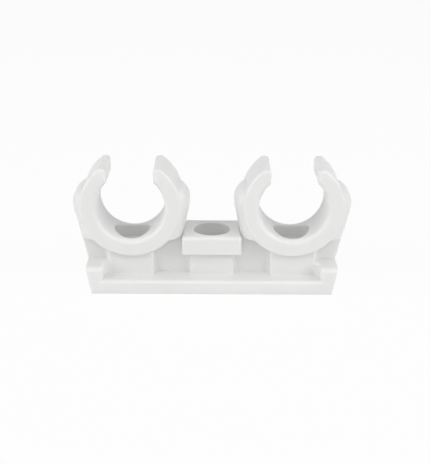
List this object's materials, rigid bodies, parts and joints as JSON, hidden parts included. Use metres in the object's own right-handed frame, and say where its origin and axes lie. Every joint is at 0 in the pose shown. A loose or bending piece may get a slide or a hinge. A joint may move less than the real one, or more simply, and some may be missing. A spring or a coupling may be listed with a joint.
{
  "type": "double pipe clip",
  "caption": "Moulded plastic clip with open snap-in rings side by side on a screw-down base, for holding parallel pipes off a wall.",
  "frame": {"origin": "middle of the flat underside, on the mounting surface", "axes": "+X along the base from ring to ring, +Y along the pipes, +Z out from the mounting surface"},
  "size_m": [0.0816, 0.0216, 0.0373],
  "materials": {
    "white_plastic": "satin"
  },
  "bodies": {
    "root": {"double_pipe_clip": "white_plastic"}
  },
  "joints": []
}
